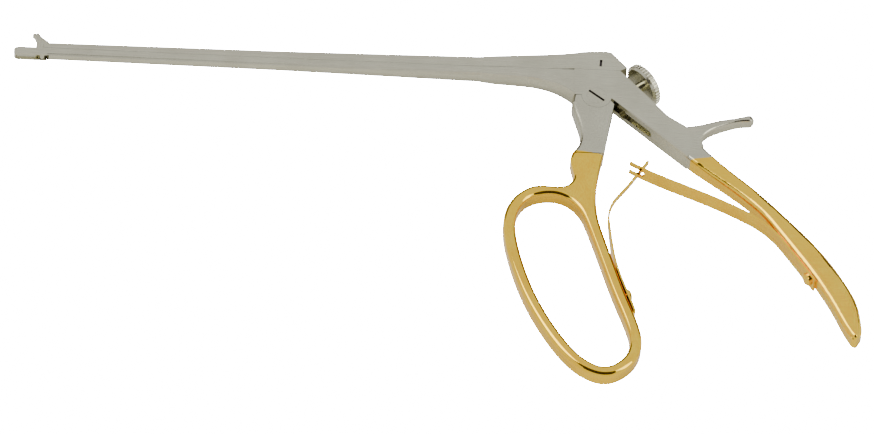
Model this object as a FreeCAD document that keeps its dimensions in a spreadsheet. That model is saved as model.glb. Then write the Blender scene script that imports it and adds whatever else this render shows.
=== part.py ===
import FreeCAD, Part
import math
import os
import Sketcher

# Biopsy punch forceps in millimetres, lying on their side: +X runs from the jaw to the handles,
# +Y is the side of the sliding bar, +Z is up. The origin lies on the lower side face, under the
# pivot that the front handle turns on. Every piece is drawn about its own mid-plane.

SIZES = {
    # body, handles and fits
    "body_thickness": 7.6,
    "running_clearance": 0.06,
    "seat_clearance": 0.03,
    "slide_travel": 2.69,
    "seam_height": 11.85,
    # shaft, from the jaw back to the body
    "shaft_reach": 197.0,
    "mid_reach": 113.0,
    "rear_reach": 42.0,
    "neck_reach": 27.0,
    "flare_reach": 17.0,
    "body_reach": 8.0,
    "tip_width": 3.7,
    "mid_width": 4.1,
    "rear_width": 5.4,
    "neck_width": 6.2,
    "flare_width": 6.3,
    "bar_depth": 2.5,
    "rear_bar_depth": 2.9,
    "neck_bar_depth": 3.9,
    "flare_bar_depth": 5.6,
    "bar_crown": 0.7,
    "neck_crown": 0.5,
    "flare_crown": 0.9,
    "root_drop": 0.9,
    "root_inset": 0.6,
    "slide_height": 2.2,
    "mid_slide_height": 3.1,
    "rear_slide_height": 4.2,
    "neck_slide_height": 5.5,
    "flare_slide_height": 6.4,
    "body_slide_height": 7.15,
    "slide_crown": 0.35,
    "neck_slide_crown": 0.25,
    "flare_slide_crown": 0.15,
    "body_slide_crown": 0.05,
    "slide_nose": 1.4,
    # basket and jaw
    "basket_length": 12.0,
    "basket_wall": 0.62,
    "basket_depth": 3.1,
    "basket_corner": 1.2,
    "jaw_thickness": 2.3,
    "jaw_pivot_drop": 1.75,
    "jaw_pivot_setback": 1.8,
    "jaw_pin_diameter": 0.9,
    "drive_pin_diameter": 0.6,
    "drive_pin_lever": 2.75,
    "drive_pin_angle": 59.0,
    "jaw_slot_play": 0.12,
    "fork_length": 6.6,
    # guide keys
    "key_length": 4.0,
    "key_neck_width": 1.3,
    "key_head_width": 2.3,
    "key_step": 0.75,
    "front_key_setback": 12.0,
    "rear_key_reach": 34.0,
    # pivot and drive arm
    "cheek_radius": 5.4,
    "recess_clearance": 0.08,
    "arm_thickness": 2.6,
    "arm_width": 4.4,
    "arm_side_clearance": 0.1,
    "arm_slot_play": 0.1,
    "arm_room_reach": 4.6,
    "slide_room_reach": 4.4,
    "pivot_head_diameter": 7.0,
    "pivot_head_depth": 1.2,
    "pivot_shank_diameter": 4.5,
    "far_skin": 0.6,
    "drive_head_diameter": 3.0,
    "drive_head_depth": 1.0,
    "drive_far_skin": 0.8,
    "drive_shank_diameter": 2.0,
    "drive_lever": 14.98,
    "drive_angle": 5.94,
    "screw_slot_width": 0.9,
    "screw_slot_depth": 0.6,
    # slot milled into the front face of the rear handle
    "milled_slot_width": 3.0,
    "milled_slot_length": 19.5,
    "milled_slot_depth": 2.2,
    "relief_place": 5.5,
    "relief_diameter": 4.4,
    "relief_depth": 2.5,
    # finger ring and handles
    "ring_width": 4.5,
    "ring_depth": 7.2,
    "ring_fillet": 1.8,
    "handle_fillet": 1.4,
    "neck_fillet": 1.6,
    "spur_thickness": 4.9,
    "spur_fillet": 1.0,
    # thumb screw
    "knob_diameter": 16.5,
    "knob_thickness": 3.3,
    "knob_chamfer": 0.7,
    "knob_tilt": 40.0,
    "knob_reach": 17.2,
    "knob_offset": 4.46,
    "knob_notches": 40,
    "knob_notch_radius": 0.4,
    "knob_rim_step": 0.45,
    "thumb_shank_diameter": 4.0,
    "thumb_shank_length": 10.1,
    "thumb_shank_chamfer": 0.4,
    "thumb_hole_spare": 0.3,
    # springs
    "spring_thickness": 0.8,
    "spring_width": 6.2,
    "spring_tip_width": 2.0,
    "fork_slot_width": 2.8,
    "fork_slot_end": 15.9,
    "spring_screw_head_diameter": 4.8,
    "spring_screw_head_height": 1.5,
    "spring_screw_shank_diameter": 2.4,
    "spring_screw_depth": 2.8,
    "spring_screw_slot_depth": 0.5,
    "spring_hole_spare": 0.7,
}

doc = FreeCAD.newDocument("BiopsyPunchForceps")
sheet = doc.addObject("Spreadsheet::Sheet", "Sizes")
for row, (alias, value) in enumerate(SIZES.items(), start=1):
    sheet.set(f"A{row}", alias)
    sheet.set(f"B{row}", str(value))
    sheet.setAlias(f"B{row}", alias)
doc.recompute()

V = FreeCAD.Vector
AXIS_X = V(1, 0, 0)
AXIS_Y = V(0, 1, 0)
AXIS_Z = V(0, 0, 1)
SEAM = SIZES["seam_height"]
HALF_BODY = SIZES["body_thickness"] / 2
TOP = V(0, 0, HALF_BODY)
THROUGH = "2 * Sizes.body_thickness"


def size(alias):
    """Value of one cell of the sheet."""
    return float(getattr(sheet, alias))


def new_body(label):
    """Body lying with its mid-plane half the body thickness above the rest face."""
    piece = doc.addObject("PartDesign::Body", label)
    piece.Label = label
    piece.setExpression(".Placement.Base.z", "Sizes.body_thickness / 2")
    return piece


def new_sketch(piece, name, base=V(0, 0, 0), x_axis=AXIS_X, y_axis=AXIS_Y):
    """Sketch on the body's XY plane, moved to base and turned to the two axes."""
    drawing = piece.newObject("Sketcher::SketchObject", name)
    plane = [f for f in piece.Origin.OriginFeatures if f.Role == "XY_Plane"][0]
    drawing.AttachmentSupport = [(plane, "")]
    drawing.MapMode = "FlatFace"
    turn = FreeCAD.Rotation(x_axis, y_axis, x_axis.cross(y_axis), "XYZ")
    drawing.AttachmentOffset = FreeCAD.Placement(base, turn)
    return drawing


def arc_or_line(start, run, end):
    """Arc that leaves start along run and ends at end, or a line where it hardly bends."""
    chord = end - start
    lean = math.atan2(run.x * chord.y - run.y * chord.x, run.dot(chord))
    if abs(lean) < 1e-4:
        return Part.LineSegment(start, end)
    across = V(chord.y, -chord.x, 0) * (math.tan(lean / 2) / 2)
    return Part.Arc(start, (start + end) / 2 + across, end)


def smooth_edges(points, runs):
    """Tangent arcs through the points, two between neighbours, that follow the given runs."""
    edges = []
    for here, ahead, run, run_ahead in zip(points, points[1:], runs, runs[1:]):
        gap = ahead - here
        both = run + run_ahead
        bend = 2 * (1 - run.dot(run_ahead))
        along = gap.dot(both)
        if bend < 1e-9:
            reach = gap.dot(gap) / (2 * along)
        else:
            reach = (math.sqrt(along * along + bend * gap.dot(gap)) - along) / bend
        middle = (here + ahead) / 2 + (run - run_ahead) * (reach / 2)
        edges.append(arc_or_line(here, run, middle))
        edges.append(arc_or_line(ahead, -run_ahead, middle))
    return edges


def spline_runs(points, closed=False):
    """Directions of a smooth curve through the points."""
    curve = Part.BSplineCurve()
    if closed:
        curve.interpolate(Points=points, PeriodicFlag=True)
    else:
        curve.interpolate(points)
    return [curve.tangent(curve.parameter(p))[0] for p in points]


def draw(drawing, start, steps):
    """Closed outline: each step is a line to a point, an arc or a smooth curve."""
    here = V(*start, 0)
    for kind, *points in steps:
        ends = [V(*p, 0) for p in points]
        if kind == "line":
            edges = [Part.LineSegment(here, ends[-1])]
        elif kind == "arc":
            edges = [Part.Arc(here, ends[0], ends[1])]
        else:
            edges = smooth_edges([here] + ends, spline_runs([here] + ends))
        drawing.addGeometry(edges, False)
        here = ends[-1]


def draw_circle(drawing, centre, diameter_expression):
    """Circle whose diameter is bound to the sheet."""
    index = drawing.addGeometry(Part.Circle(V(*centre, 0), AXIS_Z, 1), False)
    rim = drawing.addConstraint(Sketcher.Constraint("Diameter", index, 2.0))
    drawing.setExpression(f"Constraints[{rim}]", diameter_expression)
    drawing.addConstraint(Sketcher.Constraint("DistanceX", index, 3, centre[0]))
    drawing.addConstraint(Sketcher.Constraint("DistanceY", index, 3, centre[1]))


def box_points(x0, y0, x1, y1):
    """Steps of a rectangle that starts at its first corner."""
    return [("line", (x1, y0)), ("line", (x1, y1)), ("line", (x0, y1)), ("line", (x0, y0))]


def extrude(piece, kind, drawing, length, both=True):
    """Pad or Pocket of a sketch, to both sides of it or along one."""
    feature = piece.newObject("PartDesign::" + kind, drawing.Name + "_" + kind)
    feature.Profile = drawing
    feature.SideType = "Symmetric" if both else "One side"
    feature.setExpression("Length", length)
    before = 0 if piece.Shape.isNull() else piece.Shape.Volume
    doc.recompute()
    grown = piece.Shape.Volume - before
    if (grown > 0) != (kind == "Pad"):
        raise RuntimeError(feature.Name + " did not change its body as drawn")
    return feature


def bore(piece, name, base, direction, diameter, depth):
    """Round hole from a point on a face, going in against the outward direction."""
    side = direction.cross(AXIS_Z) if abs(direction.z) < 0.5 else AXIS_X
    hole = new_sketch(piece, name, base, side, direction.cross(side))
    draw_circle(hole, (0, 0), diameter)
    return extrude(piece, "Pocket", hole, depth, both=False)


def loft(piece, name, sections, ruled):
    """Loft through bar sections, each (x, flat height, side height, width, crown height)."""
    drawings = []
    for number, (x, flat, side, width, crown) in enumerate(sections):
        drawing = new_sketch(piece, f"{name}_{number}", V(x, 0, 0), AXIS_Y, AXIS_Z)
        steps = [("line", (side, width / 2)), ("arc", (crown, 0), (side, -width / 2)),
                 ("line", (flat, -width / 2)), ("line", (flat, width / 2))]
        draw(drawing, (flat, width / 2), steps)
        drawings.append(drawing)
    body_loft = piece.newObject("PartDesign::AdditiveLoft", name)
    body_loft.Profile = drawings[0]
    body_loft.Sections = drawings[1:]
    body_loft.Ruled = ruled
    doc.recompute()


def fillet(piece, name, radius, wanted):
    """Fillet of the edges that the test picks."""
    edges = [f"Edge{i}" for i, e in enumerate(piece.Shape.Edges, start=1) if wanted(e)]
    base = piece.Tip
    rounding = piece.newObject("PartDesign::Fillet", name)
    rounding.Base = (base, edges)
    rounding.setExpression("Radius", radius)
    piece.Tip = rounding
    doc.recompute()


def lies_on(edge, height):
    """Edge of a pad's face, height above or below the mid-plane of the piece."""
    box = edge.BoundBox
    return abs(abs(box.ZMin - HALF_BODY) - height) < 1e-3 and box.ZLength < 1e-3


def bar_sections(rows, flat, sign):
    """Sections of a bar from rows of (reach, side height, width, crown)."""
    return [(-reach, flat, flat + sign * side, width, flat + sign * (side + crown))
            for reach, side, width, crown in rows]


def strip_outline(drawing, points, thickness):
    """Outline of a bent strip about its middle line."""
    middle = Part.BSplineCurve()
    middle.interpolate([V(*p, 0) for p in points])
    sides = ([], [])
    for p in points:
        place = middle.parameter(V(*p, 0))
        across = middle.tangent(place)[0].cross(AXIS_Z) * (thickness / 2)
        sides[0].append((p[0] + across.x, p[1] + across.y))
        sides[1].insert(0, (p[0] - across.x, p[1] - across.y))
    steps = [("curve", *sides[0][1:]), ("line", sides[1][0]),
             ("curve", *sides[1][1:]), ("line", sides[0][0])]
    draw(drawing, sides[0][0], steps)


# Points that several pieces share.
knob_axis = V(math.cos(math.radians(size("knob_tilt"))), math.sin(math.radians(size("knob_tilt"))), 0)
knob_side = V(knob_axis.y, -knob_axis.x, 0)
knob_seat = knob_axis * size("knob_reach") + knob_side * size("knob_offset")
jaw_pivot = V(-size("shaft_reach") - size("jaw_pivot_setback"), SEAM - size("jaw_pivot_drop"), 0)
pin_angle = math.radians(size("drive_pin_angle"))
drive_pin_place = jaw_pivot + V(math.cos(pin_angle), math.sin(pin_angle), 0) * size("drive_pin_lever")
lean = math.radians(size("drive_angle"))
drive_place = V(math.sin(lean), math.cos(lean), 0) * size("drive_lever")
slide_foot = SEAM + size("running_clearance")
key_reaches = (size("shaft_reach") - size("front_key_setback"), size("rear_key_reach"))
slot_width = "Sizes.arm_thickness + 2 * Sizes.arm_side_clearance"

# Front face of the rear handle, and the plane of the slot that is milled into it.
FRONT_START = V(5.5, -1.0, 0)
FRONT_PLATING = V(32.6, -26.0, 0)
front_run = (FRONT_PLATING - FRONT_START).normalize()


def build_fixed_frame():
    """Fixed bar with its basket, body, rear handle and rest spur in one forging."""
    piece = new_body("fixed_frame")
    spur = new_sketch(piece, "spur")
    draw(spur, (28.0, -11.0), [
        ("line", (31.5, -10.9)),
        ("curve", (37.1, -9.8), (44.5, -7.3), (53.6, -4.8), (56.5, -4.5), (56.6, -6.4),
         (53.6, -7.4), (46.0, -9.8), (40.3, -13.0), (37.3, -17.2)),
        ("line", (28.0, -11.0))])
    extrude(piece, "Pad", spur, "Sizes.spur_thickness")
    fillet(piece, "spur_rounding", "Sizes.spur_fillet",
           lambda e: lies_on(e, size("spur_thickness") / 2) and e.CenterOfMass.x > 38)

    handle = new_sketch(piece, "rear_handle")
    draw(handle, (30.6, -24.2), [
        ("curve", (46.0, -37.6), (54.3, -44.9), (59.9, -51.0), (65.2, -58.5), (77.2, -77.0),
         (86.0, -94.0), (90.6, -103.8), (92.4, -105.6), (94.4, -104.2), (95.1, -98.5),
         (94.0, -91.0), (89.9, -80.9), (78.6, -63.2), (69.0, -51.8), (58.1, -40.0),
         (45.2, -28.2), (36.6, -18.6)),
        ("line", (30.6, -24.2))])
    extrude(piece, "Pad", handle, "Sizes.body_thickness")
    fillet(piece, "handle_rounding", "Sizes.handle_fillet",
           lambda e: lies_on(e, HALF_BODY) and e.CenterOfMass.x > 34)

    body = new_sketch(piece, "body")
    radius = size("cheek_radius")
    draw(body, (-size("body_reach"), SEAM), [
        ("line", (-size("body_reach"), 0.15)), ("line", (-radius, 0.15)),
        ("arc", (0, -radius), (radius * 0.985, -radius * 0.17)),
        ("line", (FRONT_PLATING.x, FRONT_PLATING.y)), ("line", (38.5, -20.8)),
        ("curve", (34.6, -14.6), (30.9, -11.4), (27.3, -9.0), (24.0, -5.9)),
        ("line", (8.5, SEAM)), ("line", (-size("body_reach"), SEAM))])
    extrude(piece, "Pad", body, "Sizes.body_thickness")

    shoulder = [(size("rear_reach"), size("rear_bar_depth"), size("rear_width"), size("bar_crown")),
                (size("neck_reach"), size("neck_bar_depth"), size("neck_width"), size("neck_crown")),
                (size("flare_reach"), size("flare_bar_depth"), size("flare_width"), size("flare_crown")),
                (size("body_reach"), SEAM - size("root_drop"),
                 size("body_thickness") - size("root_inset"), size("bar_crown"))]
    loft(piece, "bar_shoulder", bar_sections(shoulder, SEAM, -1), False)
    bar = [(size("shaft_reach"), size("bar_depth"), size("tip_width"), size("bar_crown")),
           (size("mid_reach"), size("bar_depth"), size("mid_width"), size("bar_crown")),
           (size("rear_reach"), size("rear_bar_depth"), size("rear_width"), size("bar_crown"))]
    loft(piece, "bar_shaft", bar_sections(bar, SEAM, -1), True)

    half = size("tip_width") / 2
    nose = -size("shaft_reach") - size("basket_length")
    basket = new_sketch(piece, "basket", V(0, SEAM, 0), AXIS_X, V(0, 0, -1))
    draw(basket, (-size("shaft_reach"), -half), [
        ("line", (nose + half, -half)), ("arc", (nose, 0), (nose + half, half)),
        ("line", (-size("shaft_reach"), half)), ("line", (-size("shaft_reach"), -half))])
    extrude(piece, "Pad", basket, "Sizes.basket_depth", both=False).Reversed = True
    doc.recompute()
    wall = size("basket_wall")
    mouth = new_sketch(piece, "basket_mouth", V(0, SEAM, 0), AXIS_X, V(0, 0, -1))
    inner = half - wall
    mouth_rear = 0.5 - size("shaft_reach")
    draw(mouth, (mouth_rear, -inner), [
        ("line", (nose + wall + 0.6, -inner)), ("arc", (nose + wall + 0.1, 0), (nose + wall + 0.6, inner)),
        ("line", (mouth_rear, inner)), ("line", (mouth_rear, -inner))])
    extrude(piece, "Pocket", mouth, "3 * Sizes.basket_depth")
    bore(piece, "jaw_pin_hole", jaw_pivot + V(0, 0, half), AXIS_Z, "Sizes.jaw_pin_diameter",
         "Sizes.tip_width")

    room = new_sketch(piece, "arm_room")
    reach = size("cheek_radius") + size("recess_clearance")
    side = size("arm_room_reach")
    draw(room, (reach, 0), [
        ("arc", (0, -reach), (-reach, 0)), ("line", (-reach, 6.5)), ("line", (-side, 7.4)),
        ("line", (-side, SEAM + 1)), ("line", (side, SEAM + 1)),
        ("line", (side, math.sqrt(reach * reach - side * side))),
        ("arc", (reach * math.cos(0.3), reach * math.sin(0.3)), (reach, 0))])
    extrude(piece, "Pocket", room, slot_width)
    bore(piece, "pivot_seat", TOP, AXIS_Z,
         "Sizes.pivot_head_diameter + 2 * Sizes.seat_clearance", "Sizes.pivot_head_depth")
    bore(piece, "pivot_hole", TOP, AXIS_Z,
         "Sizes.pivot_shank_diameter + 2 * Sizes.seat_clearance",
         "Sizes.body_thickness - Sizes.far_skin")
    bore(piece, "thumb_hole", knob_seat, knob_axis,
         "Sizes.thumb_shank_diameter + 2 * Sizes.running_clearance",
         "Sizes.thumb_shank_length + Sizes.thumb_hole_spare")

    milled = new_sketch(piece, "milled_slot", FRONT_START, front_run, AXIS_Z)
    half = size("milled_slot_width") / 2
    end = size("milled_slot_length")
    draw(milled, (-1.0, -half), [
        ("line", (end - half, -half)), ("arc", (end, 0), (end - half, half)), ("line", (-1.0, half)),
        ("line", (-1.0, -half))])
    extrude(piece, "Pocket", milled, "2 * Sizes.milled_slot_depth")
    relief = new_sketch(piece, "slot_relief", FRONT_START + front_run * size("relief_place"),
                        front_run, AXIS_Z)
    draw_circle(relief, (0, 0), "Sizes.relief_diameter")
    extrude(piece, "Pocket", relief, "2 * Sizes.relief_depth")
    for number, reach in enumerate(key_reaches):
        cut_key_way(piece, number, -reach)
    bore(piece, "spring_screw_hole", rear_screw_place, rear_screw_axis,
         "Sizes.spring_screw_shank_diameter", "Sizes.spring_screw_depth + Sizes.spring_hole_spare")
    return piece


def cut_key_way(piece, number, key_end):
    """Guide way for one key of the slide: narrow neck over a wider room, with an entry behind."""
    play = size("running_clearance")
    step = size("key_step")
    front = key_end - size("key_length") - size("slide_travel") - 2 * play
    rows = (("neck", key_end + play, size("key_neck_width"), 0, step),
            ("head", key_end + play, size("key_head_width"), step, 2 * step + play),
            ("entry", key_end + 2 * play + size("key_length"), size("key_head_width"), 0,
             2 * step + play))
    for name, rear, width, start, end in rows:
        low = key_end if name == "entry" else front
        half = width / 2 + play
        drawing = new_sketch(piece, f"{name}_way_{number}", V(0, 0, 0))
        draw(drawing, (low, SEAM - start), box_points(low, SEAM - start, rear, SEAM - end))
        extrude(piece, "Pocket", drawing, str(2 * half))


def build_slide_bar():
    """Upper bar: fork for the jaw, guide keys, room for the drive arm and the rear stop face."""
    piece = new_body("slide_bar")
    rear = new_sketch(piece, "slide_block")
    stop = size("knob_reach") - 2 * size("running_clearance")

    def stop_point(height):
        return ((stop - height * knob_axis.y) / knob_axis.x, height)

    draw(rear, (-size("body_reach"), slide_foot), [
        ("line", (-size("body_reach"), SEAM + 7.2)),
        ("curve", (-2.0, SEAM + 8.25), (3.4, SEAM + 8.5)), ("line", stop_point(SEAM + 8.2)),
        ("line", stop_point(13.4)), ("line", (8.6, slide_foot)),
        ("line", (-size("body_reach"), slide_foot))])
    extrude(piece, "Pad", rear, "Sizes.body_thickness")
    drop = size("running_clearance")
    shoulder = [(size("rear_reach"), size("rear_slide_height"), size("rear_width"), size("slide_crown")),
                (size("neck_reach"), size("neck_slide_height"), size("neck_width"),
                 size("neck_slide_crown")),
                (size("flare_reach"), size("flare_slide_height"), size("flare_width"),
                 size("flare_slide_crown")),
                (size("body_reach"), size("body_slide_height") - drop, size("body_thickness"),
                 size("body_slide_crown"))]
    loft(piece, "slide_shoulder", bar_sections(shoulder, slide_foot, 1), False)
    nose = size("shaft_reach") + size("slide_nose")
    shaft = [(nose, size("slide_height"), size("tip_width"), size("slide_crown")),
             (size("mid_reach"), size("mid_slide_height"), size("mid_width"), size("slide_crown")),
             (size("rear_reach"), size("rear_slide_height"), size("rear_width"), size("slide_crown"))]
    loft(piece, "slide_shaft", bar_sections(shaft, slide_foot, 1), True)

    fork = new_sketch(piece, "fork")
    draw(fork, (-nose - 1, SEAM - 1), box_points(-nose - 1, SEAM - 1, size("fork_length") - nose, SEAM + 5))
    extrude(piece, "Pocket", fork, "Sizes.tip_width - 2 * Sizes.basket_wall")
    bore(piece, "drive_pin_hole", drive_pin_place + TOP, AXIS_Z, "Sizes.drive_pin_diameter", THROUGH)

    room = new_sketch(piece, "arm_room")
    side = size("slide_room_reach")
    draw(room, (-side, SEAM - 1), [
        ("line", (side, SEAM - 1)), ("line", (side, 15.4)), ("arc", (0.8, 17.4), (-2.8, 16.2)),
        ("line", (-side, 14.2)), ("line", (-side, SEAM - 1))])
    extrude(piece, "Pocket", room, slot_width)
    face = drive_place + TOP
    bore(piece, "drive_head_seat", face, AXIS_Z,
         "Sizes.drive_head_diameter + 2 * Sizes.seat_clearance", "Sizes.drive_head_depth")
    bore(piece, "drive_hole", face, AXIS_Z,
         "Sizes.drive_shank_diameter + 2 * Sizes.seat_clearance",
         "Sizes.body_thickness - Sizes.drive_far_skin")
    for number, reach in enumerate(key_reaches):
        add_key(piece, number, -reach)
    return piece


def add_key(piece, number, key_end):
    """Guide key under the slide, narrow in its neck and wide below."""
    step = size("key_step")
    front = key_end - size("key_length")
    play = size("running_clearance")
    rows = (("neck", "Sizes.key_neck_width", SEAM + 0.3, SEAM - step - play),
            ("head", "Sizes.key_head_width", SEAM - step - play, SEAM - 2 * step))
    for name, width, high, low in rows:
        drawing = new_sketch(piece, f"{name}_{number}")
        draw(drawing, (front, high), box_points(front, high, key_end, low))
        extrude(piece, "Pad", drawing, width)


def build_upper_jaw():
    """Biting jaw, drawn open: heel about its pin, drive slot, toe and hollow cutting edge."""
    piece = new_body("upper_jaw")
    x, y = jaw_pivot.x, jaw_pivot.y
    profile = new_sketch(piece, "jaw_profile")
    draw(profile, (x - 1.25, y), [
        ("arc", (x, y - 1.25), (x + 1.2, y + 0.3)),
        ("curve", (x + 1.75, y + 1.3), (x + 2.25, y + 2.2), (x + 2.55, y + 3.6), (x + 2.1, y + 5.4)),
        ("curve", (x + 0.4, y + 6.6), (x - 1.3, y + 8.9)),
        ("line", (x - 3.4, y + 8.4)),
        ("curve", (x - 2.3, y + 6.9), (x - 1.9, y + 5.2), (x - 2.2, y + 3.3), (x - 1.25, y))])
    extrude(piece, "Pad", profile, "Sizes.jaw_thickness")
    bore(piece, "pivot_hole", jaw_pivot + TOP, AXIS_Z,
         "Sizes.jaw_pin_diameter + 2 * Sizes.seat_clearance", THROUGH)
    lever = size("drive_pin_lever")
    along = V(math.cos(pin_angle), math.sin(pin_angle), 0)
    slot = new_sketch(piece, "drive_slot", jaw_pivot, along, AXIS_Z.cross(along))
    half = size("drive_pin_diameter") / 2 + size("jaw_slot_play")
    near = lever * math.sin(pin_angle)
    draw(slot, (near, -half), [
        ("line", (lever, -half)), ("arc", (lever + half, 0), (lever, half)),
        ("line", (near, half)), ("arc", (near - half, 0), (near, -half))])
    extrude(piece, "Pocket", slot, "2 * Sizes.jaw_thickness")
    return piece


RING = ((-1.1, -58.9), (3.3, -73.6), (8.3, -90.3), (12.4, -102.6), (14.0, -110.8), (12.8, -117.4),
        (9.0, -122.6), (3.0, -125.5), (-4.0, -123.2), (-12.4, -114.4), (-18.3, -104.6),
        (-24.4, -91.2), (-28.7, -77.3), (-31.0, -65.5), (-30.9, -55.5), (-26.6, -47.2),
        (-19.6, -43.6), (-11.5, -44.2), (-5.4, -49.2))
NECK_FRONT = ((-13.9, -41.6), (-10.3, -40.4), (-8.4, -37.4), (-8.7, -33.0), (-9.4, -28.6), (-8.4, -25.4))
NECK_REAR = ((2.7, -25.4), (0.5, -38.0), (-0.1, -47.5))


def ring_edge(distance):
    """Points at a distance outside the ring's middle line, and their directions."""
    points = [V(*p, 0) for p in RING]
    runs = spline_runs(points, closed=True)
    return [p + AXIS_Z.cross(run) * distance for p, run in zip(points, runs)], runs


def build_front_handle():
    """Squeezed handle: finger ring, neck, and the hub and arm that work inside the body."""
    piece = new_body("front_handle")
    grip = new_sketch(piece, "finger_ring")
    half = size("ring_width") / 2
    hole, runs = ring_edge(-half)
    grip.addGeometry(smooth_edges(hole + hole[:1], runs + runs[:1]), False)
    around = ring_edge(half)[0][1:17]
    outer = [V(*p, 0) for p in NECK_REAR] + around + [V(*p, 0) for p in NECK_FRONT]
    grip.addGeometry(smooth_edges(outer, spline_runs(outer)), False)
    grip.addGeometry(Part.LineSegment(outer[-1], outer[0]), False)
    extrude(piece, "Pad", grip, "Sizes.ring_depth")
    fillet(piece, "ring_rounding", "Sizes.ring_fillet",
           lambda e: lies_on(e, size("ring_depth") / 2) and e.CenterOfMass.y < -26)

    neck = new_sketch(piece, "neck")
    draw(neck, (5.08, -2.1), [
        ("line", (6.3, -3.7)), ("curve", (3.8, -18.2), (2.6, -26.3)),
        ("line", (-8.9, -26.3)), ("line", (-8.3, -25.2)),
        ("curve", (-6.2, -21.4), (-5.7, -17.6), (-6.9, -11.0), (-8.8, -3.1)),
        ("line", (-8.3, 0.0)), ("line", (-5.0, 0.0)), ("line", (-5.0, -2.1)),
        ("line", (5.08, -2.1))])
    extrude(piece, "Pad", neck, "Sizes.body_thickness")
    fillet(piece, "neck_rounding", "Sizes.neck_fillet",
           lambda e: lies_on(e, HALF_BODY) and e.BoundBox.XMax < -5.6)
    recess = new_sketch(piece, "cheek_recess")
    draw_circle(recess, (0, 0), "2 * (Sizes.cheek_radius + Sizes.recess_clearance)")
    extrude(piece, "Pocket", recess, THROUGH)

    arm = new_sketch(piece, "hub_and_arm")
    hub = size("cheek_radius") - size("arm_side_clearance")
    side = V(math.cos(lean), -math.sin(lean), 0) * (size("arm_width") / 2)
    tip_left = drive_place - side
    tip_right = drive_place + side
    over = drive_place + V(math.sin(lean), math.cos(lean), 0) * (size("arm_width") / 2)
    draw(arm, (hub * 0.8, hub * 0.6), [
        ("arc", (hub, 0), (hub * 0.9, -hub * 0.436)), ("line", (3.4, -7.5)),
        ("line", (-5.4, -7.5)), ("line", (-hub * 0.98, -hub * 0.2)),
        ("arc", (-hub, 0), (-hub * 0.8, hub * 0.6)),
        ("line", (-1.6, 8.0)), ("line", (tip_left.x, tip_left.y)),
        ("arc", (over.x, over.y), (tip_right.x, tip_right.y)), ("line", (3.0, 8.0)),
        ("line", (hub * 0.8, hub * 0.6))])
    extrude(piece, "Pad", arm, "Sizes.arm_thickness")
    bore(piece, "pivot_hole", TOP, AXIS_Z,
         "Sizes.pivot_shank_diameter + 4 * Sizes.seat_clearance", THROUGH)
    slot = new_sketch(piece, "drive_slot", drive_place, V(math.cos(lean), -math.sin(lean), 0),
                      V(math.sin(lean), math.cos(lean), 0))
    half = size("drive_shank_diameter") / 2 + 2 * size("seat_clearance")
    play = size("arm_slot_play")
    draw(slot, (half, -play), [
        ("line", (half, play)), ("arc", (0, half + play), (-half, play)), ("line", (-half, -play)),
        ("arc", (0, -half - play), (half, -play))])
    extrude(piece, "Pocket", slot, "2 * Sizes.arm_thickness")
    bore(piece, "spring_screw_hole", front_screw_place, front_screw_axis,
         "Sizes.spring_screw_shank_diameter", "Sizes.spring_screw_depth + Sizes.spring_hole_spare")
    return piece


REAR_SPRING = ((78.3, -79.8), (73.9, -73.0), (68.8, -65.1), (64.0, -58.3), (59.0, -53.4),
               (53.0, -49.4), (43.6, -44.4), (30.0, -38.2), (17.2, -32.2), (12.0, -29.2))
FRONT_SPRING = ((13.6, -97.2), (10.25, -87.0), (6.7, -74.5), (5.5, -66.0), (4.75, -58.5),
                (4.5, -52.5), (5.8, -47.0), (10.3, -40.0), (15.0, -32.6), (18.7, -26.5))
SPRING_TAPER = (-74.0, -50.0)
ACROSS = "200"  # cuts past both ends of a spring


def spring_screw_line(points, distance, side):
    """Point on the outer face of a spring near its fixed end, and the direction out of it."""
    middle = Part.BSplineCurve()
    middle.interpolate([V(*p, 0) for p in points])
    place = middle.parameterAtDistance(distance, middle.FirstParameter)
    outward = middle.tangent(place)[0].cross(AXIS_Z) * side
    lift = size("spring_thickness") / 2 + size("seat_clearance")
    return middle.value(place) + outward * lift, outward


rear_screw_place, rear_screw_axis = spring_screw_line(REAR_SPRING, 3.8, -1)
front_screw_place, front_screw_axis = spring_screw_line(FRONT_SPRING, 9.0, 1)


def build_rear_leaf_spring():
    """Forked leaf spring, screwed to the front face of the rear handle."""
    piece = new_body("rear_leaf_spring")
    strip = new_sketch(piece, "strip")
    strip_outline(strip, REAR_SPRING, size("spring_thickness"))
    extrude(piece, "Pad", strip, "Sizes.spring_width")
    half = size("fork_slot_width") / 2
    end = size("fork_slot_end")
    fork = new_sketch(piece, "fork", V(0, 0, 0), AXIS_X, V(0, 0, -1))
    draw(fork, (10.0, -half), [
        ("line", (end, -half)), ("arc", (end + half, 0), (end, half)), ("line", (10.0, half)),
        ("line", (10.0, -half))])
    extrude(piece, "Pocket", fork, ACROSS)
    bore(piece, "screw_hole", rear_screw_place, rear_screw_axis,
         "Sizes.spring_screw_shank_diameter + 2 * Sizes.seat_clearance",
         "2 * Sizes.spring_thickness")
    return piece


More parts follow.
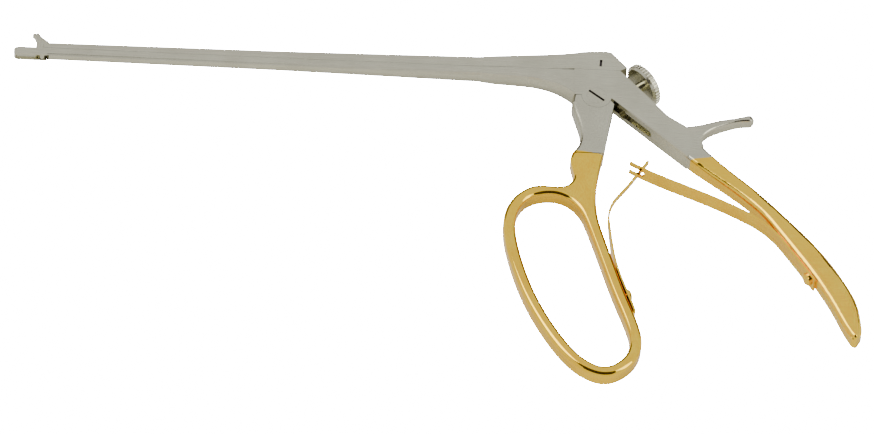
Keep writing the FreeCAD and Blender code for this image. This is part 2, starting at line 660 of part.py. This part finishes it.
def build_front_leaf_spring():
    """Leaf spring on the back of the finger ring, narrowed to pass through the fork."""
    piece = new_body("front_leaf_spring")
    strip = new_sketch(piece, "strip")
    strip_outline(strip, FRONT_SPRING, size("spring_thickness"))
    extrude(piece, "Pad", strip, "Sizes.spring_width")
    wide, narrow = size("spring_width") / 2, size("spring_tip_width") / 2
    for name, sign in (("taper_top", 1), ("taper_bottom", -1)):
        taper = new_sketch(piece, name, V(0, 0, 0), AXIS_Y, AXIS_Z)
        draw(taper, (SPRING_TAPER[0], sign * (wide + 0.01)), [
            ("line", (SPRING_TAPER[1], sign * narrow)), ("line", (-20.0, sign * narrow)),
            ("line", (-20.0, sign * 2 * wide)), ("line", (SPRING_TAPER[0], sign * 2 * wide)),
            ("line", (SPRING_TAPER[0], sign * (wide + 0.01)))])
        extrude(piece, "Pocket", taper, ACROSS)
    bore(piece, "screw_hole", front_screw_place, front_screw_axis,
         "Sizes.spring_screw_shank_diameter + 2 * Sizes.seat_clearance",
         "2 * Sizes.spring_thickness")
    return piece


def turned(label, outline, place, axis, slot_angle=None, slot_depth=0, spread=10):
    """Piece turned about its own axis, with a screwdriver slot across its top if asked."""
    piece = doc.addObject("PartDesign::Body", label)
    piece.Label = label
    profile = new_sketch(piece, label + "_profile", V(0, 0, 0), AXIS_X, AXIS_Z)
    draw(profile, outline[0], [("line", p) for p in outline[1:] + outline[:1]])
    body = piece.newObject("PartDesign::Revolution", label + "_turning")
    body.Profile = profile
    body.ReferenceAxis = (profile, ["V_Axis"])
    body.Angle = 360
    doc.recompute()
    if slot_angle is not None:
        turn = math.radians(slot_angle)
        run = V(math.cos(turn), math.sin(turn), 0)
        top = max(p[1] for p in outline)
        drawing = new_sketch(piece, label + "_slot", V(0, 0, top), run, AXIS_Z.cross(run))
        half = size("screw_slot_width") / 2
        draw(drawing, (-spread, -half), box_points(-spread, -half, spread, half))
        extrude(piece, "Pocket", drawing, str(slot_depth), both=False)
    piece.Placement = FreeCAD.Placement(place + V(0, 0, HALF_BODY), FreeCAD.Rotation(AXIS_Z, axis))
    return piece


PIVOT_SLOT_ANGLE = -39
DRIVE_SLOT_ANGLE = 85


def build_screws_and_pins():
    """Pivot screw, drive screw, the jaw's two pins and the two spring screws."""
    head, shank = size("pivot_head_diameter") / 2, size("pivot_shank_diameter") / 2
    deep = size("body_thickness") - size("far_skin")
    turned("pivot_screw", [(0, -deep), (shank, -deep), (shank, -size("pivot_head_depth")),
                           (head, -size("pivot_head_depth")), (head, 0), (0, 0)],
           TOP, AXIS_Z, PIVOT_SLOT_ANGLE, size("screw_slot_depth"))
    head, shank = size("drive_head_diameter") / 2, size("drive_shank_diameter") / 2
    deep, under = size("body_thickness") - size("drive_far_skin"), size("drive_head_depth")
    turned("drive_screw", [(0, -deep), (shank, -deep), (shank, -under), (head, -under), (head, 0), (0, 0)],
           drive_place + TOP, AXIS_Z, DRIVE_SLOT_ANGLE, size("screw_slot_depth"))
    half = size("tip_width") / 2
    for label, place, diameter in (("jaw_pivot_pin", jaw_pivot, size("jaw_pin_diameter")),
                                   ("jaw_drive_pin", drive_pin_place, size("drive_pin_diameter"))):
        radius = diameter / 2
        turned(label, [(0, -half), (radius, -half), (radius, half), (0, half)], place, AXIS_Z)
    head, shank = size("spring_screw_head_diameter") / 2, size("spring_screw_shank_diameter") / 2
    high, deep = size("spring_screw_head_height"), size("spring_screw_depth")
    outline = [(0, -deep), (shank, -deep), (shank, 0), (head, 0), (head, high * 0.5),
               (head * 0.75, high * 0.85), (head * 0.3, high), (0, high)]
    cut = size("spring_screw_slot_depth")
    turned("rear_spring_screw", outline, rear_screw_place, rear_screw_axis, 0, cut)
    turned("front_spring_screw", outline, front_screw_place, front_screw_axis, 0, cut)


def build_thumb_screw():
    """Knurled stop screw behind the slide."""
    radius, thick = size("knob_diameter") / 2, size("knob_thickness")
    shank, edge = size("thumb_shank_diameter") / 2, size("knob_chamfer")
    long, step = size("thumb_shank_length"), size("knob_rim_step")
    bevel = size("thumb_shank_chamfer")
    outline = [(0, -long), (shank - bevel, -long), (shank, bevel - long), (shank, 0),
               (radius - step - edge, 0), (radius - step, edge), (radius, edge),
               (radius, thick - edge), (radius - step, thick - edge),
               (radius - step - edge, thick), (0, thick)]
    piece = turned("thumb_screw", outline, knob_seat, knob_axis)
    notch = new_sketch(piece, "notch", V(0, 0, -1))
    draw_circle(notch, (radius, 0), "2 * Sizes.knob_notch_radius")
    cut = piece.newObject("PartDesign::Pocket", "notch_cut")
    cut.Profile = notch
    cut.setExpression("Length", "Sizes.knob_thickness + 2")
    cut.Reversed = True
    doc.recompute()
    before = piece.Shape.Volume
    ring = piece.newObject("PartDesign::PolarPattern", "knurl")
    ring.Originals = [cut]
    ring.Axis = (notch, ["N_Axis"])
    ring.Angle = 360
    ring.setExpression("Occurrences", "Sizes.knob_notches")
    piece.Tip = ring
    doc.recompute()
    if piece.Shape.Volume >= before:
        raise RuntimeError("the knurl cut nothing")


build_fixed_frame()
build_slide_bar()
build_upper_jaw()
build_front_handle()
build_rear_leaf_spring()
build_front_leaf_spring()
build_screws_and_pins()
build_thumb_screw()
doc.recompute()

pieces = [thing for thing in doc.Objects if thing.TypeId == "PartDesign::Body"]
for thing in doc.Objects:
    if "Invalid" in thing.State or "Error" in thing.State:
        raise RuntimeError(f"{thing.Name} did not compute")
for piece in pieces:
    if piece.Shape.isNull() or not piece.Shape.isValid():
        raise RuntimeError(f"{piece.Label} has no valid shape")
    if len(piece.Shape.Solids) != 1:
        raise RuntimeError(f"{piece.Label} is not one solid")

os.makedirs("parts", exist_ok=True)
for piece in pieces:
    piece.Shape.exportStep(f"parts/{piece.Label}.step")
    print(piece.Label, round(piece.Shape.Volume, 1))
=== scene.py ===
import bmesh
import bpy
import math
from mathutils import Matrix, Vector
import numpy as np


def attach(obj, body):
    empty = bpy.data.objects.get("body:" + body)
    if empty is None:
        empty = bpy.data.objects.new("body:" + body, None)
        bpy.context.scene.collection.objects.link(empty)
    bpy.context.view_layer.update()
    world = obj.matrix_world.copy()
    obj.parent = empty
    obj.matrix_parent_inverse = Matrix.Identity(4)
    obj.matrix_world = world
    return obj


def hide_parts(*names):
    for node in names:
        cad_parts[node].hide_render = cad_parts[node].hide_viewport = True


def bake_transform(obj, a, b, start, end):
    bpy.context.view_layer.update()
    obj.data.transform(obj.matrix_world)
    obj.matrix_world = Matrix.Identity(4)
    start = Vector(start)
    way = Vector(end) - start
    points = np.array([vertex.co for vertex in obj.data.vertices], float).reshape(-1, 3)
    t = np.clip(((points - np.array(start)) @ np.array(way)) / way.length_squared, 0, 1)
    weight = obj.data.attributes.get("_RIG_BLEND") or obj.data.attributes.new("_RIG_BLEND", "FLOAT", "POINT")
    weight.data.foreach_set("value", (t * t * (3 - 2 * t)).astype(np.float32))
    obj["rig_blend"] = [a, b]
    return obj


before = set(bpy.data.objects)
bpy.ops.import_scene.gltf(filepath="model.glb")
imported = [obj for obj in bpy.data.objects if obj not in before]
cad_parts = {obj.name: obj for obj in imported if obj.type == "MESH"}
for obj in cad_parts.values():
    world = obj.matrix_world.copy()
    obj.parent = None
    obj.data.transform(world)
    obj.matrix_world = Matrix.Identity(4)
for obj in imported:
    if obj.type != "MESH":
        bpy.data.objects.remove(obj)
print("frame loaded")
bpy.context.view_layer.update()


def addNode(tree, kind, place=(0, 0), **values):
    node = tree.nodes.new(kind)
    node.location = place
    for name, value in values.items():
        setattr(node, name, value)
    return node


def newGroup(name, inputs, outputs):
    group = bpy.data.node_groups.new(name, "ShaderNodeTree")
    for label, kind, value in inputs:
        made = group.interface.new_socket(name=label, in_out="INPUT", socket_type=kind)
        made.default_value = value
    for label, kind in outputs:
        group.interface.new_socket(name=label, in_out="OUTPUT", socket_type=kind)
    start = addNode(group, "NodeGroupInput", (-900, 0))
    end = addNode(group, "NodeGroupOutput", (900, 0))
    return group, start, end


brushLook = {
    "grainDetail": 3.0,
    "cloudScale": 90.0,
    "cloudDetail": 4.0,
    "toneRange": (0.12, 0.38),                # cloud times grain that spreads over both colours
    "scuffTurn": (0.0, 0.0, 0.6),
    "scuffStretch": (260.0, 5200.0, 900.0),
    "scuffRange": (0.66, 0.74),               # noise above this is a scuff
    "scuffRoughness": 0.3,
    "bumpStrength": 0.03,
    "bumpDistance": 0.00002,
}


# fine grain drawn out along one axis, cloudy tone and thin random scuffs
def brushedGroup():
    group, start, end = newGroup(
        "brushedMetal",
        [("Color", "NodeSocketColor", (0.5, 0.5, 0.5, 1)), ("Shade", "NodeSocketColor", (0.3, 0.3, 0.3, 1)),
         ("Roughness", "NodeSocketFloat", 0.3), ("Grain", "NodeSocketFloat", 0.1),
         ("Scuffs", "NodeSocketFloat", 0.3), ("Stretch", "NodeSocketVector", (150, 4000, 4000))],
        [("Color", "NodeSocketColor"), ("Roughness", "NodeSocketFloat"), ("Height", "NodeSocketFloat")])
    link = group.links.new
    coord = addNode(group, "ShaderNodeTexCoord", (-900, -300))
    scaled = addNode(group, "ShaderNodeVectorMath", (-700, -200), operation="MULTIPLY")
    link(coord.outputs["Object"], scaled.inputs[0])
    link(start.outputs["Stretch"], scaled.inputs[1])
    grain = addNode(group, "ShaderNodeTexNoise", (-500, -200))
    grain.inputs["Scale"].default_value = 1.0
    grain.inputs["Detail"].default_value = brushLook["grainDetail"]
    link(scaled.outputs[0], grain.inputs["Vector"])
    cloud = addNode(group, "ShaderNodeTexNoise", (-500, -500))
    cloud.inputs["Scale"].default_value = brushLook["cloudScale"]
    cloud.inputs["Detail"].default_value = brushLook["cloudDetail"]
    link(coord.outputs["Object"], cloud.inputs["Vector"])
    tone = addNode(group, "ShaderNodeMath", (-250, -350), operation="MULTIPLY")
    link(cloud.outputs["Fac"], tone.inputs[0])
    link(grain.outputs["Fac"], tone.inputs[1])
    toneRange = addNode(group, "ShaderNodeMapRange", (-50, -350))
    toneRange.inputs["From Min"].default_value = brushLook["toneRange"][0]
    toneRange.inputs["From Max"].default_value = brushLook["toneRange"][1]
    link(tone.outputs[0], toneRange.inputs["Value"])
    mix = addNode(group, "ShaderNodeMix", (200, 100), data_type="RGBA")
    link(toneRange.outputs[0], mix.inputs["Factor"])
    link(start.outputs["Shade"], mix.inputs["A"])
    link(start.outputs["Color"], mix.inputs["B"])
    link(mix.outputs["Result"], end.inputs["Color"])

    turned = addNode(group, "ShaderNodeMapping", (-700, -750))
    turned.inputs["Rotation"].default_value = brushLook["scuffTurn"]
    turned.inputs["Scale"].default_value = brushLook["scuffStretch"]
    link(coord.outputs["Object"], turned.inputs["Vector"])
    scratch = addNode(group, "ShaderNodeTexNoise", (-500, -750))
    scratch.inputs["Scale"].default_value = 1.0
    scratch.inputs["Detail"].default_value = 1.0
    link(turned.outputs[0], scratch.inputs["Vector"])
    scuff = addNode(group, "ShaderNodeMapRange", (-250, -750))
    scuff.inputs["From Min"].default_value = brushLook["scuffRange"][0]
    scuff.inputs["From Max"].default_value = brushLook["scuffRange"][1]
    link(scratch.outputs["Fac"], scuff.inputs["Value"])
    scuffAmount = addNode(group, "ShaderNodeMath", (-50, -750), operation="MULTIPLY")
    link(scuff.outputs[0], scuffAmount.inputs[0])
    link(start.outputs["Scuffs"], scuffAmount.inputs[1])

    spread = addNode(group, "ShaderNodeMath", (0, -80), operation="SUBTRACT")
    link(grain.outputs["Fac"], spread.inputs[0])
    spread.inputs[1].default_value = 0.5
    rough = addNode(group, "ShaderNodeMath", (200, -120), operation="MULTIPLY_ADD")
    link(spread.outputs[0], rough.inputs[0])
    link(start.outputs["Grain"], rough.inputs[1])
    link(start.outputs["Roughness"], rough.inputs[2])
    worn = addNode(group, "ShaderNodeMath", (400, -160), operation="MULTIPLY_ADD")
    link(scuffAmount.outputs[0], worn.inputs[0])
    worn.inputs[1].default_value = brushLook["scuffRoughness"]
    link(rough.outputs[0], worn.inputs[2])
    link(worn.outputs[0], end.inputs["Roughness"])
    height = addNode(group, "ShaderNodeMath", (400, -350), operation="SUBTRACT")
    link(grain.outputs["Fac"], height.inputs[0])
    link(scuffAmount.outputs[0], height.inputs[1])
    link(height.outputs[0], end.inputs["Height"])
    return group


platingLook = {
    "front_handle": {"slope": 0.136, "start": -0.0263},   # plated below y = start - slope * x
    "fixed_frame": {"slope": -0.18, "start": -0.0331},
    "wobble": 0.0003,
    "wobbleScale": 500.0,
    "edge": 0.0001,                           # half the width of the border
}


# mask that is 1 below a slanted line across the handle, with a slightly uneven border
def platingGroup():
    group, start, end = newGroup(
        "platingLine",
        [("Start", "NodeSocketFloat", 0.0), ("Slope", "NodeSocketFloat", 0.0),
         ("Wobble", "NodeSocketFloat", 0.0)],
        [("Mask", "NodeSocketFloat")])
    link = group.links.new
    coord = addNode(group, "ShaderNodeTexCoord", (-900, -200))
    split = addNode(group, "ShaderNodeSeparateXYZ", (-700, -200))
    link(coord.outputs["Object"], split.inputs[0])
    noise = addNode(group, "ShaderNodeTexNoise", (-700, -400))
    noise.inputs["Scale"].default_value = platingLook["wobbleScale"]
    link(coord.outputs["Object"], noise.inputs["Vector"])
    wobble = addNode(group, "ShaderNodeMath", (-450, -300), operation="MULTIPLY_ADD")
    link(noise.outputs["Fac"], wobble.inputs[0])
    link(start.outputs["Wobble"], wobble.inputs[1])
    link(split.outputs["Y"], wobble.inputs[2])
    leaned = addNode(group, "ShaderNodeMath", (-250, -300), operation="MULTIPLY_ADD")
    link(split.outputs["X"], leaned.inputs[0])
    link(start.outputs["Slope"], leaned.inputs[1])
    link(wobble.outputs[0], leaned.inputs[2])
    gap = addNode(group, "ShaderNodeMath", (-100, -200), operation="SUBTRACT")
    link(start.outputs["Start"], gap.inputs[0])
    link(leaned.outputs[0], gap.inputs[1])
    ramp = addNode(group, "ShaderNodeMapRange", (50, -200))
    ramp.inputs["From Min"].default_value = -platingLook["edge"]
    ramp.inputs["From Max"].default_value = platingLook["edge"]
    link(gap.outputs[0], ramp.inputs["Value"])
    link(ramp.outputs[0], end.inputs["Mask"])
    return group


# painted shade: a near-black colour laid into the screw slots below a height, standing in for the shade in
# these recesses
slotShadeLook = {
    "level": 0.00735,                         # screw slots lie below this height
    "fade": (-0.0001, 0.0002),
    # near-black colour of the painted shade in the slots
    "color": (0.05, 0.045, 0.04, 1.0),
}


# mask that is 1 below a height, where painted shade darkens a screw slot
def depthGroup():
    group, start, end = newGroup(
        "slotShadeMask", [("Level", "NodeSocketFloat", 0.0)], [("Mask", "NodeSocketFloat")])
    link = group.links.new
    coord = addNode(group, "ShaderNodeTexCoord", (-700, 0))
    split = addNode(group, "ShaderNodeSeparateXYZ", (-500, 0))
    link(coord.outputs["Object"], split.inputs[0])
    gap = addNode(group, "ShaderNodeMath", (-250, 0), operation="SUBTRACT")
    link(start.outputs["Level"], gap.inputs[0])
    link(split.outputs["Z"], gap.inputs[1])
    ramp = addNode(group, "ShaderNodeMapRange", (0, 0))
    ramp.inputs["From Min"].default_value = slotShadeLook["fade"][0]
    ramp.inputs["From Max"].default_value = slotShadeLook["fade"][1]
    link(gap.outputs[0], ramp.inputs["Value"])
    link(ramp.outputs[0], end.inputs["Mask"])
    return group


brushed = brushedGroup()
plating = platingGroup()
slotShadeMask = depthGroup()


steelLook = {
    "color": (0.60, 0.585, 0.44, 1.0),       # warm grey of satin steel
    "shadeColor": (0.51, 0.49, 0.36, 1.0),    # darker film in the grain
    "roughness": 0.2,
    "grainStrength": 0.07,
    "scuffAmount": 0.35,
}
goldLook = {
    "color": (1.0, 0.67, 0.055, 1.0),
    "shadeColor": (0.95, 0.56, 0.03, 1.0),    # deeper tone where the plating is thin
    "roughness": 0.07,
    "grainStrength": 0.04,
    "scuffAmount": 0.25,
}


# brushed metal; with a plating line gold covers the part below it, with a slot level painted shade darkens
# the part below it
def metalMaterial(name, look, stretch, line=None, slot=None):
    material = bpy.data.materials.new(name)
    material.use_nodes = True
    tree = material.node_tree
    shader = tree.nodes["Principled BSDF"]
    shader.inputs["Metallic"].default_value = 1.0
    link = tree.links.new

    def coat(values, place):
        node = addNode(tree, "ShaderNodeGroup", place, node_tree=brushed)
        node.inputs["Color"].default_value = values["color"]
        node.inputs["Shade"].default_value = values["shadeColor"]
        node.inputs["Roughness"].default_value = values["roughness"]
        node.inputs["Grain"].default_value = values["grainStrength"]
        node.inputs["Scuffs"].default_value = values["scuffAmount"]
        node.inputs["Stretch"].default_value = stretch
        return node

    base = coat(look, (-900, 100))
    color, rough = base.outputs["Color"], base.outputs["Roughness"]
    if line:
        gold = coat(goldLook, (-900, -200))
        mask = addNode(tree, "ShaderNodeGroup", (-900, -500), node_tree=plating)
        mask.inputs["Start"].default_value = line["start"]
        mask.inputs["Slope"].default_value = line["slope"]
        mask.inputs["Wobble"].default_value = platingLook["wobble"]
        colorMix = addNode(tree, "ShaderNodeMix", (-600, 100), data_type="RGBA")
        link(mask.outputs["Mask"], colorMix.inputs["Factor"])
        link(color, colorMix.inputs["A"])
        link(gold.outputs["Color"], colorMix.inputs["B"])
        roughMix = addNode(tree, "ShaderNodeMix", (-600, -150), data_type="FLOAT")
        link(mask.outputs["Mask"], roughMix.inputs["Factor"])
        link(rough, roughMix.inputs["A"])
        link(gold.outputs["Roughness"], roughMix.inputs["B"])
        color, rough = colorMix.outputs["Result"], roughMix.outputs["Result"]
    if slot:
        # painted shade: below the level the colour is mixed towards near-black
        paintedShade = addNode(tree, "ShaderNodeGroup", (-600, -500), node_tree=slotShadeMask)
        paintedShade.inputs["Level"].default_value = slot["level"]
        paintedShadeMix = addNode(tree, "ShaderNodeMix", (-350, 100), data_type="RGBA")
        link(paintedShade.outputs["Mask"], paintedShadeMix.inputs["Factor"])
        link(color, paintedShadeMix.inputs["A"])
        paintedShadeMix.inputs["B"].default_value = slot["color"]
        color = paintedShadeMix.outputs["Result"]
    link(color, shader.inputs["Base Color"])
    link(rough, shader.inputs["Roughness"])
    bump = addNode(tree, "ShaderNodeBump", (-300, -400))
    bump.inputs["Strength"].default_value = brushLook["bumpStrength"]
    bump.inputs["Distance"].default_value = brushLook["bumpDistance"]
    link(base.outputs["Height"], bump.inputs["Height"])
    link(bump.outputs["Normal"], shader.inputs["Normal"])
    return material


# stretch of the grain, long where the number is small
alongShaft = (120, 5000, 5000)
alongHandle = (2500, 900, 2500)
acrossSpring = (2500, 2500, 300)
paints = {
    "fixed_frame": metalMaterial("frameMetal", steelLook, alongShaft, line=platingLook["fixed_frame"]),
    "front_handle": metalMaterial("handleMetal", steelLook, alongHandle, line=platingLook["front_handle"]),
    "slide_bar": metalMaterial("slideSteel", steelLook, alongShaft),
    "upper_jaw": metalMaterial("jawSteel", steelLook, alongHandle),
    "thumb_screw": metalMaterial("knobSteel", steelLook, alongHandle),
    # the screws get painted shade in their slots
    "pivot_screw": metalMaterial("screwSteel", steelLook, alongHandle, slot=slotShadeLook),
    "jaw_pivot_pin": metalMaterial("pinSteel", steelLook, alongHandle),
    "front_leaf_spring": metalMaterial("springGold", goldLook, acrossSpring),
}
sameAs = {"drive_screw": "pivot_screw", "jaw_drive_pin": "jaw_pivot_pin",
          "rear_leaf_spring": "front_leaf_spring", "rear_spring_screw": "front_leaf_spring",
          "front_spring_screw": "front_leaf_spring"}
for name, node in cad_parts.items():
    paint = paints[sameAs.get(name, name)]
    if not node.material_slots:
        node.data.materials.append(paint)
    for slot in node.material_slots:
        slot.material = paint
print("metals painted")


# copy of a CAD piece's mesh that another shape can be worked into, on the same place
def startCopy(node, name):
    copy = bpy.data.objects.new(name, node.data.copy())
    copy.matrix_world = node.matrix_world.copy()
    bpy.context.scene.collection.objects.link(copy)
    shape = bmesh.new()
    shape.from_mesh(copy.data)
    return copy, shape


def endCopy(copy, shape, sharpAngle):
    shape.to_mesh(copy.data)
    shape.free()
    for attribute in [a for a in copy.data.attributes if a.name == "custom_normal"]:
        copy.data.attributes.remove(attribute)
    copy.data.shade_smooth()
    copy.data.set_sharp_from_angle(angle=math.radians(sharpAngle))


frameMiddle = 0.0038                          # height of the forging's middle plane
# front and back edge of the rear handle in plan, as the CAD outline has them
gripLook = {
    "front": ((0.0306, -0.0242), (0.0460, -0.0376), (0.0543, -0.0449), (0.0599, -0.0510), (0.0652, -0.0585),
              (0.0772, -0.0770), (0.0860, -0.0940), (0.0906, -0.1038), (0.0924, -0.1056)),
    "back": ((0.0366, -0.0186), (0.0452, -0.0282), (0.0581, -0.0400), (0.0690, -0.0518), (0.0786, -0.0632),
             (0.0899, -0.0809), (0.0940, -0.0910), (0.0951, -0.0985), (0.0944, -0.1042)),
    "along": (0.64, -0.77),                   # direction of the rear handle, in plan
    "reach": (0.046, 0.142),                  # where the cuts lie along it
    "span": (0.004, 0.026),                   # and across it
    "step": (0.002, 0.0008),                  # between cuts, along and across
    "margin": 0.006,                          # faces this far before the first cut are cut too
    "fade": (-0.026, -0.042),                 # y where the rounding starts, and where it is full
    "crown": 0.26,                            # share of the half thickness lost at the edges
}


def distanceToLine(place, points):
    distances = []
    for first, second in zip(points, points[1:]):
        run = second - first
        share = min(1.0, max(0.0, (place - first).dot(run) / run.length_squared))
        distances.append((place - first - run * share).length)
    return min(distances)


# rear handle cut finely, and its flat sides lowered towards both edges
def crownGrip(shape):
    along = Vector((*gripLook["along"], 0)).normalized()
    across = Vector((-along.y, along.x, 0))
    rows = ((along, gripLook["reach"], gripLook["step"][0]),
            (across, gripLook["span"], gripLook["step"][1]))
    first = gripLook["reach"][0] - gripLook["margin"]
    for normal, (low, high), step in rows:
        for number in range(int((high - low) / step) + 1):
            faces = [f for f in shape.faces if f.calc_center_median().dot(along) > first]
            parts = list({part for f in faces for part in (*f.verts, *f.edges)}) + faces
            place = normal * (low + step * number)
            bmesh.ops.bisect_plane(shape, geom=parts, plane_co=place, plane_no=normal)
    front = [Vector(point) for point in gripLook["front"]]
    back = [Vector(point) for point in gripLook["back"]]
    full = gripLook["fade"][0] - gripLook["fade"][1]
    for vertex in shape.verts:
        if vertex.co.dot(along) < gripLook["reach"][0] or vertex.co.y > gripLook["fade"][0]:
            continue
        toFront, toBack = distanceToLine(vertex.co.xy, front), distanceToLine(vertex.co.xy, back)
        side = (toFront - toBack) / (toFront + toBack)
        fade = min(1.0, (gripLook["fade"][0] - vertex.co.y) / full)
        left = 1 - gripLook["crown"] * fade * side ** 2
        vertex.co.z = frameMiddle + (vertex.co.z - frameMiddle) * left


spurLook = {
    "root": (0.0373, -0.0120),                # the rest spur, in plan
    "tip": (0.0568, -0.0053),
    "radius": 0.0026,
    "flat": 0.12,                             # share of the thickness left at the very end
    "cuts": 3,
    "sharpAngle": 32.0,
}


# the forging, with a crowned handle and the end of its rest spur rounded in the thickness too
def shapeForging(node):
    forging, shape = startCopy(node, "frameForging")
    crownGrip(shape)
    root, tip = Vector(spurLook["root"]), Vector(spurLook["tip"])
    along = (tip - root).normalized()
    radius = spurLook["radius"]
    start = (tip - root).length - radius

    def pastStart(place):
        return (place.xy - root).dot(along) - start if place.y > root.y else -1.0

    near = [edge for edge in shape.edges if all(pastStart(v.co) > -radius for v in edge.verts)]
    bmesh.ops.subdivide_edges(shape, edges=near, cuts=spurLook["cuts"], use_grid_fill=True)
    for vertex in shape.verts:
        past = pastStart(vertex.co)
        if past > 0:
            share = math.sqrt(max(spurLook["flat"] ** 2, 1 - (past / radius) ** 2))
            vertex.co.z = frameMiddle + (vertex.co.z - frameMiddle) * share
    endCopy(forging, shape, spurLook["sharpAngle"])
    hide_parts("fixed_frame")
    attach(forging, "frame_body")
    print("handle crowned and spur rounded")


springLook = {
    "cuts": 12,
    "sharpAngle": 32.0,
    "cross": (0.01575, -0.03136),             # where the tongue passes through the fork
    "front": {
        "name": "ringSpring",
        "bodies": ("handle_body", "frame_body"),
        "start": (0.0050, -0.0560),
    },
    "rear": {
        "name": "handleSpring",
        "bodies": ("frame_body", "handle_body"),
        "start": (0.0530, -0.0494),
    },
}


# a leaf spring cut across finely, so that it bends from its fixed end to the crossing
def bendSpring(node, look):
    spring, shape = startCopy(node, look["name"])
    start, cross = Vector((*look["start"], 0)), Vector((*springLook["cross"], 0))
    step = (cross - start) / springLook["cuts"]
    for number in range(springLook["cuts"] + 2):
        parts = shape.verts[:] + shape.edges[:] + shape.faces[:]
        bmesh.ops.bisect_plane(shape, geom=parts, plane_co=start + step * number, plane_no=step)
    endCopy(spring, shape, springLook["sharpAngle"])
    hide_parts(node.name)
    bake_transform(spring, *look["bodies"], start, start + (cross - start) * 2)
    print(look["name"], "bends")


shapeForging(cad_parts["fixed_frame"])
bendSpring(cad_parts["front_leaf_spring"], springLook["front"])
bendSpring(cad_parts["rear_leaf_spring"], springLook["rear"])


stageLook = {
    "floorHeight": -0.0046,
    "floorHalfSize": 3.0,
    "floorColor": (0.80, 0.79, 0.76, 1.0),
    "floorRoughness": 0.9,
    "floorGlow": 60.0,                        # seen by the camera alone
    "floorShine": 0.2,                        # lights the undersides, like a light table
    "worldColor": (0.95, 0.96, 1.0, 1.0),
    "worldStrength": 1.0,
}
cardLook = {
    "color": (0.05, 0.04, 0.03, 1.0),
    "cameraCard": {"place": (-0.12, -1.25, 1.45), "size": (3.4, 2.3)},
    "farCard": {"place": (0.0, 1.9, 0.5), "size": (4.0, 1.0)},
}
lightLook = {
    "keyLight": {"place": (-1.0, 0.2, 1.2), "target": (-0.03, -0.03, 0), "size": (0.8, 0.8), "power": 9},
    "sideLight": {"place": (0.9, -0.3, 0.7), "target": (0, -0.05, 0), "size": (0.5, 0.9), "power": 4},
}


def addFloor():
    mesh = bpy.data.meshes.new("floor")
    size, z = stageLook["floorHalfSize"], stageLook["floorHeight"]
    corners = [(-size, -size, z), (size, -size, z), (size, size, z), (-size, size, z)]
    mesh.from_pydata(corners, [], [(0, 1, 2, 3)])
    floor = bpy.data.objects.new("floor", mesh)
    bpy.context.scene.collection.objects.link(floor)
    material = bpy.data.materials.new("paleFloor")
    material.use_nodes = True
    tree = material.node_tree
    shader = tree.nodes["Principled BSDF"]
    shader.inputs["Base Color"].default_value = stageLook["floorColor"]
    shader.inputs["Roughness"].default_value = stageLook["floorRoughness"]
    path = addNode(tree, "ShaderNodeLightPath", (-500, -200))
    glow = addNode(tree, "ShaderNodeMath", (-250, -200), operation="MULTIPLY_ADD")
    glow.inputs[1].default_value = stageLook["floorGlow"]
    glow.inputs[2].default_value = stageLook["floorShine"]
    tree.links.new(path.outputs["Is Camera Ray"], glow.inputs[0])
    shader.inputs["Emission Color"].default_value = (1, 1, 1, 1)
    tree.links.new(glow.outputs[0], shader.inputs["Emission Strength"])
    mesh.materials.append(material)


def addAreaLight(name, place, target, size, power):
    data = bpy.data.lights.new(name, "AREA")
    data.shape = "RECTANGLE"
    data.size, data.size_y = size
    data.energy = power
    lamp = bpy.data.objects.new(name, data)
    bpy.context.scene.collection.objects.link(lamp)
    lamp.location = place
    lamp.rotation_euler = (Vector(target) - Vector(place)).to_track_quat("-Z", "Y").to_euler()


# dark card outside the picture, which the rounded edges mirror as a dark line
def addDarkCard(name, place, size):
    mesh = bpy.data.meshes.new(name)
    width, height = size[0] / 2, size[1] / 2
    corners = [(-width, -height, 0), (width, -height, 0), (width, height, 0), (-width, height, 0)]
    mesh.from_pydata(corners, [], [(0, 1, 2, 3)])
    card = bpy.data.objects.new(name, mesh)
    bpy.context.scene.collection.objects.link(card)
    card.location = place
    card.rotation_euler = (-Vector(place)).to_track_quat("Z", "Y").to_euler()
    material = bpy.data.materials.new(name)
    material.use_nodes = True
    shader = material.node_tree.nodes["Principled BSDF"]
    shader.inputs["Base Color"].default_value = cardLook["color"]
    shader.inputs["Roughness"].default_value = 1.0
    mesh.materials.append(material)


addFloor()
for name in ("cameraCard", "farCard"):
    addDarkCard(name, **cardLook[name])
for name, values in lightLook.items():
    addAreaLight(name, **values)
world = bpy.data.worlds.new("studio")
world.use_nodes = True
world.node_tree.nodes["Background"].inputs["Color"].default_value = stageLook["worldColor"]
world.node_tree.nodes["Background"].inputs["Strength"].default_value = stageLook["worldStrength"]
bpy.context.scene.world = world
print("stage and lights")


cameraLook = {
    "back": (-0.06, -0.627, 0.7767),
    "right": (0.99713, -0.00167, 0.07568),
    "up": (-0.04615, 0.77902, 0.62530),
    "pivot": (0.0, 0.0, 0.0076),              # near end of the pivot axis
    "shiftRight": -0.05717,
    "shiftUp": -0.04353,
    "width": 0.3129,
    "distance": 1.5,
}


def addCamera():
    right, up, back = (Vector(cameraLook[key]).normalized() for key in ("right", "up", "back"))
    aim = Vector(cameraLook["pivot"]) + right * cameraLook["shiftRight"] + up * cameraLook["shiftUp"]
    data = bpy.data.cameras.new("camera")
    data.type = "ORTHO"
    data.ortho_scale = cameraLook["width"]
    camera = bpy.data.objects.new("camera", data)
    bpy.context.scene.collection.objects.link(camera)
    turn = Matrix((right, up, back)).transposed().to_4x4()
    camera.matrix_world = Matrix.Translation(aim + back * cameraLook["distance"]) @ turn
    bpy.context.scene.camera = camera


addCamera()
